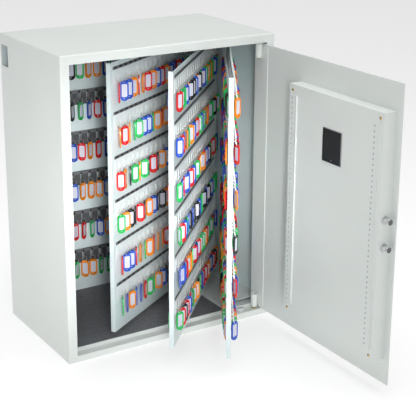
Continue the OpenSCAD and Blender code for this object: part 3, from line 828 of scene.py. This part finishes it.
def tag_template(settings, solid=False):
    """A key tag: a frame round a paper label, with a hole at each end. Its ring hole is at the origin."""
    thick, bottom = settings.thickness, TAG_TOP - settings.length
    half, z0, z1 = SOLID_WINDOW if solid else TAG_WINDOW
    corners = [(half, z0), (half, z1), (-half, z1), (-half, z0)]
    window = corners if solid else window_outline(half, z0, z1)
    outlines = [stadium(settings.width, bottom, TAG_TOP), window, oval(0, RING_HOLE_R, RING_HOLE_R),
                oval(bottom + END_HOLE_UP, *END_HOLE)]
    bm = bmesh.new()
    edges = [edge for points in outlines for edge in add_outline(bm, points, -thick / 2)]
    bmesh.ops.triangle_fill(bm, edges=edges, use_beauty=True, use_dissolve=False, normal=(0, -1, 0))
    made = bmesh.ops.extrude_face_region(bm, geom=bm.faces[:])
    bmesh.ops.translate(bm, verts=new_geometry(made, bmesh.types.BMVert), vec=(0, thick, 0))
    bmesh.ops.recalc_face_normals(bm, faces=bm.faces)
    uv = bm.loops.layers.uv.new("UVMap")
    for side in (-1, 1):
        place = Matrix.Translation((0, side * (thick / 2 - LABEL_IN), (z0 + z1) / 2))
        label = bmesh.ops.create_grid(bm, x_segments=1, y_segments=1, size=0.5,
                                      matrix=place @ Matrix.Rotation(-side * pi / 2, 4, "X")
                                      @ Matrix.Diagonal((2 * half, z1 - z0, 1, 1)))
        face = label["verts"][0].link_faces[0]
        face.material_index = 1
        for corner in face.loops:
            x, _, z = corner.vert.co
            corner[uv].uv = ((x + half) / (2 * half) * LABEL_RULES, (z - z0) / (z1 - z0))
    return template(bm, "solid key tag" if solid else "key tag")


def hang_ring():
    """From a hook's root to its ring."""
    return Matrix.Translation((0, -RING_OUT, RING_TOP)) @ Matrix.Rotation(-RING_TILT, 4, "X")


def hang_tag(yaw):
    """From a hook's root to the ring hole of its tag."""
    reach = 2 * RING_R
    hole = (0, -RING_OUT - reach * sin(RING_TILT), RING_TOP - reach * cos(RING_TILT))
    return Matrix.Translation(hole) @ Matrix.Rotation(yaw, 4, "Z")


class KEYCABINET_OT_hook_rails(bpy.types.Operator):
    """Make the slotted hook rails with their bent hooks"""

    bl_idname = "keycabinet.hook_rails"
    bl_label = "Hook rails"

    def execute(self, context):
        self.leaf_rails()
        self.wall_rails()
        return {"FINISHED"}

    def leaf_rails(self):
        """Six rails on each side of every leaf, with their hooks."""
        hook = pressed_hook(material=1)
        x0, x1 = LEAF_HOOKS_X[-1] - RAIL_END, LEAF_HOOKS_X[0] + RAIL_END
        rail = pressed_rail(x0, x1, LEAF_HOOKS_X, LEAF_RAIL_H)
        for number in range(1, LEAF_COUNT + 1):
            place = leaf_matrix(number)
            stamps = []
            for side, out in enumerate(OUTWARD):
                turn = Matrix.Diagonal((1, -out, 1, 1))
                for z in LEAF_ROWS_Z:
                    spot = Matrix.Translation((0, LEAF_SKIN[side], z - RAIL_DROP))
                    stamps.append((rail, place @ spot @ turn))
                stamps += [(hook, place @ spot) for _, _, spot in leaf_hooks(side)]
            paints = [MATERIALS["rail paint"], MATERIALS["body paint"]]
            piece = stamped(f"leaf_{number}_slotted_rails", stamps, f"leaf_{number}", paints)
            mend_normals(piece)
            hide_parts(f"leaf_{number}_hook_rails")

    def wall_rails(self):
        """Six dark rails on the back wall, with bright hooks as a piece of their own."""
        hook = pressed_hook()
        low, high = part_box("wall_hook_rails")
        rail = pressed_rail(low.x, high.x, WALL_HOOKS_X, WALL_RAIL_H, WALL_RAIL_D)
        y = high.y - WALL_RAIL_D + RAIL_SHEET
        stamps = [(rail, Matrix.Translation((0, y, z - RAIL_DROP))) for z in WALL_ROWS_Z]
        rails = stamped("wall_slotted_rails", stamps, "cabinet", [MATERIALS["anthracite paint"]])
        mend_normals(rails)
        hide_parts("wall_hook_rails")
        stamps = [(hook, spot) for _, _, spot in wall_hooks()]
        hooks = stamped("wall_hooks", stamps, "cabinet", [MATERIALS["hook steel"]])


def mend_normals(piece):
    """Points every face outwards again after mirrored stamps."""
    bm = bmesh.new()
    bm.from_mesh(piece.data)
    bmesh.ops.recalc_face_normals(bm, faces=bm.faces)
    bm.to_mesh(piece.data)
    bm.free()


class KEYCABINET_OT_number_strips(bpy.types.Operator):
    """Make the dark number strips with one square or dot for each hook"""

    bl_idname = "keycabinet.number_strips"
    bl_label = "Number strips"

    def execute(self, context):
        for number in range(1, LEAF_COUNT + 1):
            bm = bmesh.new()
            for side, out in enumerate(OUTWARD):
                for z in LEAF_ROWS_Z:
                    self.add_strip(bm, LEAF_SKIN[side], out, z, leaf_matrix(number))
            piece = self.finish_strips(f"leaf_{number}_strips", bm, f"leaf_{number}")
            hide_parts(f"leaf_{number}_number_strips")
        self.wall_strips()
        return {"FINISHED"}

    def finish_strips(self, name, bm, body):
        materials = [MATERIALS["strip"], MATERIALS["strip square"]]
        return finish_piece(name, bm, body, materials, weighted=False)

    def add_strip(self, bm, skin, out, z, place):
        """A strip across one side of a leaf, with a raised square over each hook."""
        x0, x1 = LEAF_HOOKS_X[-1] - RAIL_END, LEAF_HOOKS_X[0] + RAIL_END
        back, front = sorted((skin, skin + out * STRIP_T))
        add_box(bm, (x0, back, z - STRIP_H / 2), (x1, front, z + STRIP_H / 2), place)
        back, front = sorted(skin + out * depth for depth in SQUARE_DEPTHS)
        half_w, half_h = SQUARE[0] / 2, SQUARE[1] / 2
        for x in LEAF_HOOKS_X:
            add_box(bm, (x - half_w, back, z - half_h), (x + half_w, front, z + half_h), place, 1)

    def wall_strips(self):
        """Strips on the rails of the back wall, with a dot over each hook."""
        low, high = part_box("wall_number_strips")
        bm = bmesh.new()
        for row_z in WALL_ROWS_Z:
            z = row_z - RAIL_DROP - STRIP_H / 2
            add_box(bm, (low.x, low.y + 0.2 * MM, z - STRIP_H / 2), (high.x, high.y, z + STRIP_H / 2))
            for x in WALL_HOOKS_X:
                add_rod(bm, (x, high.y - 0.5 * MM, z), (x, low.y, z), DOT_R, 16, material=1)
        piece = self.finish_strips("wall_strips", bm, "cabinet")
        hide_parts("wall_number_strips")


class KEYCABINET_OT_keys(bpy.types.Operator):
    """Hang a split ring and a coloured key tag on every hook"""

    bl_idname = "keycabinet.keys"
    bl_label = "Rings and key tags"

    def execute(self, context):
        settings = context.scene.tag_settings
        self.draw = random.Random(settings.seed)
        self.ring = ring_template()
        self.tags = self.colored(tag_template(settings))
        self.solid_tags = self.colored(tag_template(settings, solid=True))
        for number in range(1, LEAF_COUNT + 1):
            place = leaf_matrix(number)
            hooks = [(place @ spot, side, row, n) for side in (0, 1) for row, n, spot in leaf_hooks(side)]
            self.hang(hooks, f"leaf_{number}", f"leaf_{number}", number)
        self.hang([(spot, 0, row, n) for row, n, spot in wall_hooks()], "wall", "cabinet", 0)
        return {"FINISHED"}

    def colored(self, mesh):
        """One copy of a tag mesh for each colour. The label has the last material."""
        copies = []
        for color in range(len(TAG_COLORS)):
            copy = mesh.copy()
            for polygon in copy.polygons:
                polygon.material_index = len(TAG_COLORS) if polygon.material_index == 1 else color
            copies.append(copy)
        return copies

    def yaw(self, number, side):
        """Turn of a tag about the plumb line: some face along the leaf, some across it."""
        across = self.draw.random() < 0.5
        spread = self.draw.uniform(-1, 1)
        if number == 0:
            return radians((25 if across else -28) + 14 * spread)
        if number == 1 and side == 1:
            return radians(20 * spread)
        return radians((-34 if across else 24) + 13 * spread)

    def hang(self, hooks, prefix, body, number):
        """Hangs a ring and a tag from each hook of a leaf, or of the wall, whose number is 0."""
        rings, tags = [], []
        for matrix, side, row, n in hooks:
            color = self.draw.choices(range(len(TAG_COLORS)), TAG_SHARES)[0]
            tag = self.tags[color]
            yaw = self.yaw(number, side)
            if (number, side, row, n) in SOLID_TAGS:
                tag = self.solid_tags[TAG_COLORS.index(SOLID_TAGS[number, side, row, n])]
            rings.append((self.ring, matrix @ hang_ring()))
            tags.append((tag, matrix @ hang_tag(yaw)))
        piece = stamped(f"{prefix}_rings", rings, body, [MATERIALS["ring steel"]], 50)
        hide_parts(f"{prefix}_split_rings")
        materials = [MATERIALS[f"tag {color}"] for color in TAG_COLORS] + [MATERIALS["paper"]]
        piece = stamped(f"{prefix}_tags", tags, body, materials, 40)
        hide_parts(f"{prefix}_key_tags")


class KEYCABINET_OT_leaves(bpy.types.Operator):
    """Round the folded edges of the three leaves"""

    bl_idname = "keycabinet.leaves"
    bl_label = "Leaf panels"

    def execute(self, context):
        for number in range(1, LEAF_COUNT + 1):
            body = f"leaf_{number}"
            panel = rounded_copy(f"{body}_folded_panel", f"{body}_panel", body, MATERIALS["leaf paint"],
                                 0.5 * MM)
            finish_node(f"{body}_bushes", "black plastic")
        return {"FINISHED"}


# ---------- door ----------

class KEYCABINET_OT_door(bpy.types.Operator):
    """Round the edges of the door plate, its flange and its hinge barrels"""

    bl_idname = "keycabinet.door"
    bl_label = "Door"

    def execute(self, context):
        for name, node, radius in (("door_panel", "door_plate", 1.2),
                                   ("hinge_side_flange", "anti_pry_flange", 0.6),
                                   ("painted_hinge_barrels", "hinge_barrels", 0.7)):
            piece = rounded_copy(name, node, "door", MATERIALS["body paint"], radius * MM)
        return {"FINISHED"}


class KEYCABINET_OT_lock_cover(bpy.types.Operator):
    """Make the lock cover, the index strips, the screws and the battery cover"""

    bl_idname = "keycabinet.lock_cover"
    bl_label = "Lock cover"

    def execute(self, context):
        cover = rounded_copy("cover_pan", "lock_cover", "door", MATERIALS["body paint"], 0.55 * MM)
        for side in ("hinge", "lock"):
            strip = rounded_copy(f"index_channel_{side}_side", f"index_strip_{side}_side", "door",
                                 MATERIALS["body paint"], 0.25 * MM, 2)
            # a grey sheet behind the strip, as painted shade in its holes
            self.add_hole_shade(side)
        self.add_screws()
        self.add_battery_cover()
        return {"FINISHED"}

    def add_hole_shade(self, side):
        """A thin grey sheet behind the holes of an index strip: painted shade that shows through the holes.
        """
        door = door_matrix()
        low, high = local_box(f"index_strip_{side}_side", door)
        edge, thick, holes_x = 2 * MM, 0.3 * MM, 16 * MM
        bm = bmesh.new()
        add_box(bm, (low.x + holes_x, low.y, low.z + edge),
                (high.x - edge, low.y + thick, high.z - edge), door)
        card = finish_piece(f"index_card_{side}_side", bm, "door", [MATERIALS["card"]])

    def add_screws(self):
        """Four dome-head screws on the corners of the cover, each with a dark cross on its head as painted
        shade of a cross slot.
        """
        door = door_matrix()
        low, high = local_box("cover_screws", door)
        head_r, dome_h, shank_l, shank_r = 4 * MM, 2.2 * MM, 10 * MM, 2 * MM
        cross_l, cross_w, cross_h = 4.4 * MM, 1 * MM, 0.25 * MM
        face = high.y - dome_h - 0.2 * MM
        bm = bmesh.new()
        for x in (low.x + head_r, high.x - head_r):
            for z in (low.z + head_r, high.z - head_r):
                dome = bmesh.ops.create_uvsphere(bm, u_segments=24, v_segments=12, radius=head_r)["verts"]
                bmesh.ops.scale(bm, verts=dome, vec=(1, dome_h / head_r, 1))
                bmesh.ops.translate(bm, verts=dome, vec=(x, face, z))
                add_rod(bm, (x, face - shank_l, z), (x, face, z), shank_r, 16)
                top = Matrix.Translation((x, face + dome_h - 0.15 * MM, z))
                # a dark cross a little proud of the dome: painted shade of the slot, not a cut
                for turn in (0, pi / 2):
                    add_box(bm, (-cross_l / 2, 0, -cross_w / 2), (cross_l / 2, cross_h, cross_w / 2),
                            top @ Matrix.Rotation(turn + 0.4, 4, "Y"), 1)
        bm.transform(door)
        metals = [MATERIALS["brass"], MATERIALS["bolt face and slot shade"]]
        screws = finish_piece("cover_screw_heads", bm, "door", metals, 40)
        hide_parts("cover_screws")

    def add_battery_cover(self):
        """A black lid with a thin light border and a small thumb hole."""
        door = door_matrix()
        low, high = local_box("battery_cover", door)
        border, step, hole_r = 1.4 * MM, 0.25 * MM, 1.6 * MM
        back = high.y - step
        bm = bmesh.new()
        add_box(bm, low, high)
        bevel(bm, sharp_edges(bm), 0.5 * MM, 3)
        for z in (low.z, high.z - border):
            add_box(bm, (low.x, back, z), (high.x, high.y, z + border), material=1)
        for x in (low.x, high.x - border):
            add_box(bm, (x, back, low.z), (x + border, high.y, high.z), material=1)
        hole = Vector(((low.x + high.x) / 2, back, low.z + 8 * MM))
        add_rod(bm, hole, hole + Vector((0, step, 0)), hole_r, 16, material=1)
        bm.transform(door)
        plastics = [MATERIALS["black plastic"], MATERIALS["light plastic"]]
        cover = finish_piece("battery_lid", bm, "door", plastics, 40)
        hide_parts("battery_cover")


class KEYCABINET_OT_bolts(bpy.types.Operator):
    """Make the two bolts with dark end faces, and finish their bushes"""

    bl_idname = "keycabinet.bolts"
    bl_label = "Lock bolts"

    def execute(self, context):
        door = door_matrix()
        low, high = local_box("lock_bolts", door)
        radius, y = (high.y - low.y) / 2, (low.y + high.y) / 2
        bm = bmesh.new()
        for z in (low.z + radius, high.z - radius):
            add_rod(bm, (low.x, y, z), (high.x, y, z), radius, 48)
        tips = [e for e in sharp_edges(bm) if max(v.co.x for v in e.verts) < low.x + MM]
        bevel(bm, tips, 1.4 * MM, 4)
        for face in bm.faces:
            if face.normal.x < -0.95 and face.calc_center_median().x < low.x + 0.1 * MM:
                face.material_index = 1
        bm.transform(door)
        bolts = finish_piece("round_bolts", bm, "bolts", [MATERIALS["chrome"], MATERIALS["bolt face and slot shade"]], 30)
        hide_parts("lock_bolts")
        bushes = rounded_copy("bolt_collars", "bolt_bushes", "door", MATERIALS["zinc"], 0.4 * MM, 2)
        return {"FINISHED"}


class KEYCABINET_OT_knob_and_keypad(bpy.types.Operator):
    """Make the knob, the keypad housing and its numbered keys"""

    bl_idname = "keycabinet.knob_and_keypad"
    bl_label = "Knob and keypad"

    def execute(self, context):
        self.add_knob()
        housing = rounded_copy("keypad_case", "keypad_housing", "door", MATERIALS["black plastic"], 0.9 * MM)
        mat = rounded_copy("keypad_keys", "keypad_mat", "door", MATERIALS["rubber"], 0.8 * MM)
        bush = rounded_copy("knob_collar", "spindle_bush", "door", MATERIALS["zinc"], 0.4 * MM, 2)
        self.add_legends()
        return {"FINISHED"}

    def add_knob(self):
        """A round rose with a straight grip across it, and a dark mark on the grip."""
        door = door_matrix()
        low, high = local_box("knob", door)
        x, _, z = (low + high) / 2
        rose_h, rose_r = 9 * MM, (high.z - low.z) / 2
        grip_w, grip_l = 14 * MM, 48 * MM
        mark_w, mark_z, mark_l, mark_depth = 1.6 * MM, 8 * MM, 12 * MM, 0.4 * MM
        bm = bmesh.new()
        add_rod(bm, (x, high.y, z), (x, high.y - rose_h, z), rose_r, 64)
        bevel(bm, sharp_edges(bm), 1.6 * MM, 4)
        grip = add_box(bm, (x - grip_w / 2, low.y, z - grip_l / 2),
                       (x + grip_w / 2, high.y - rose_h + MM, z + grip_l / 2))
        bevel(bm, list({e for v in grip for e in v.link_edges}), 3 * MM, 5)
        add_box(bm, (x - mark_w / 2, low.y, z + mark_z),
                (x + mark_w / 2, low.y + mark_depth, z + mark_z + mark_l), material=1)
        bm.transform(door)
        knob = finish_piece("turn_knob", bm, "knob", [MATERIALS["chrome"], MATERIALS["black plastic"]], 30)
        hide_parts("knob")

    def add_legends(self):
        """The numbers of the keys, raised a little from the mat."""
        door = door_matrix()
        face = local_box("keypad_mat", door)[0].y
        low, high = local_box("keypad_housing", door)
        middle = (low + high) / 2
        pitch_x, pitch_z, top_row = 20 * MM, 22 * MM, 24 * MM
        bm = bmesh.new()
        for index, symbol in enumerate("123456789C0E"):
            line, column = divmod(index, 3)
            spot = (middle.x + (column - 1) * pitch_x, face, middle.z + top_row - line * pitch_z)
            mesh = self.symbol_mesh(symbol)
            mesh.transform(Matrix.Translation(spot) @ Matrix.Rotation(pi / 2, 4, "X"))
            bm.from_mesh(mesh)
            bpy.data.meshes.remove(mesh)
        bm.transform(door)
        legends = finish_piece("key_legends", bm, "door", [MATERIALS["legend"]], 30, weighted=False)

    def symbol_mesh(self, symbol):
        """One raised symbol in the XY plane."""
        text = bpy.data.curves.new("legend", "FONT")
        text.body, text.size, text.extrude = symbol, 7.5 * MM, 0.12 * MM
        text.align_x, text.align_y = "CENTER", "CENTER"
        holder = bpy.data.objects.new("legend", text)
        bpy.context.scene.collection.objects.link(holder)
        bpy.context.view_layer.update()
        mesh = bpy.data.meshes.new_from_object(holder.evaluated_get(bpy.context.evaluated_depsgraph_get()))
        bpy.data.objects.remove(holder)
        return mesh


class KEYCABINET_OT_inner_parts(bpy.types.Operator):
    """Finish the lock parts that the cover hides"""

    bl_idname = "keycabinet.inner_parts"
    bl_label = "Inner lock parts"

    def execute(self, context):
        for node in ("cover_posts", "bolt_guide_plate", "guide_studs", "solenoid_body", "solenoid_plunger",
                     "spindle_crank", "bolt_carriage"):
            finish_node(node, "zinc")
        for node in ("battery_tray", "battery_lead"):
            finish_node(node, "black plastic")
        finish_node("battery_cells", "cell")
        finish_node("circuit_board", "board")
        return {"FINISHED"}


# ---------- panel and registration ----------

OPERATORS = (
    KEYCABINET_OT_stage, KEYCABINET_OT_shell, KEYCABINET_OT_sheet_parts, KEYCABINET_OT_carpet,
    KEYCABINET_OT_leaves, KEYCABINET_OT_hook_rails, KEYCABINET_OT_number_strips, KEYCABINET_OT_keys,
    KEYCABINET_OT_door, KEYCABINET_OT_lock_cover, KEYCABINET_OT_bolts, KEYCABINET_OT_knob_and_keypad,
    KEYCABINET_OT_inner_parts,
)


class KEYCABINET_PT_panel(bpy.types.Panel):
    """Lists the settings and the steps of the key cabinet"""

    bl_idname = "KEYCABINET_PT_panel"
    bl_label = "Key Cabinet"
    bl_space_type = "VIEW_3D"
    bl_region_type = "UI"
    bl_category = "Key Cabinet"

    def draw(self, context):
        for group in ("cabinet_settings", "tag_settings", "stage_settings"):
            settings = getattr(context.scene, group)
            for name in settings.__annotations__:
                self.layout.prop(settings, name)
        for operator in OPERATORS:
            self.layout.operator(operator.bl_idname)


CLASSES = (CabinetSettings, TagSettings, StageSettings, *OPERATORS, KEYCABINET_PT_panel)


def register():
    for cls in CLASSES:
        bpy.utils.register_class(cls)
    bpy.types.Scene.cabinet_settings = bpy.props.PointerProperty(type=CabinetSettings)
    bpy.types.Scene.tag_settings = bpy.props.PointerProperty(type=TagSettings)
    bpy.types.Scene.stage_settings = bpy.props.PointerProperty(type=StageSettings)


def unregister():
    del bpy.types.Scene.stage_settings
    del bpy.types.Scene.tag_settings
    del bpy.types.Scene.cabinet_settings
    for cls in reversed(CLASSES):
        bpy.utils.unregister_class(cls)


def main():
    register()
    bpy.ops.keycabinet.stage()
    bpy.ops.keycabinet.shell()
    bpy.ops.keycabinet.sheet_parts()
    bpy.ops.keycabinet.carpet()
    bpy.ops.keycabinet.leaves()
    bpy.ops.keycabinet.hook_rails()
    bpy.ops.keycabinet.number_strips()
    bpy.ops.keycabinet.keys()
    bpy.ops.keycabinet.door()
    bpy.ops.keycabinet.lock_cover()
    bpy.ops.keycabinet.bolts()
    bpy.ops.keycabinet.knob_and_keypad()
    bpy.ops.keycabinet.inner_parts()


if __name__ == "__main__":
    main()
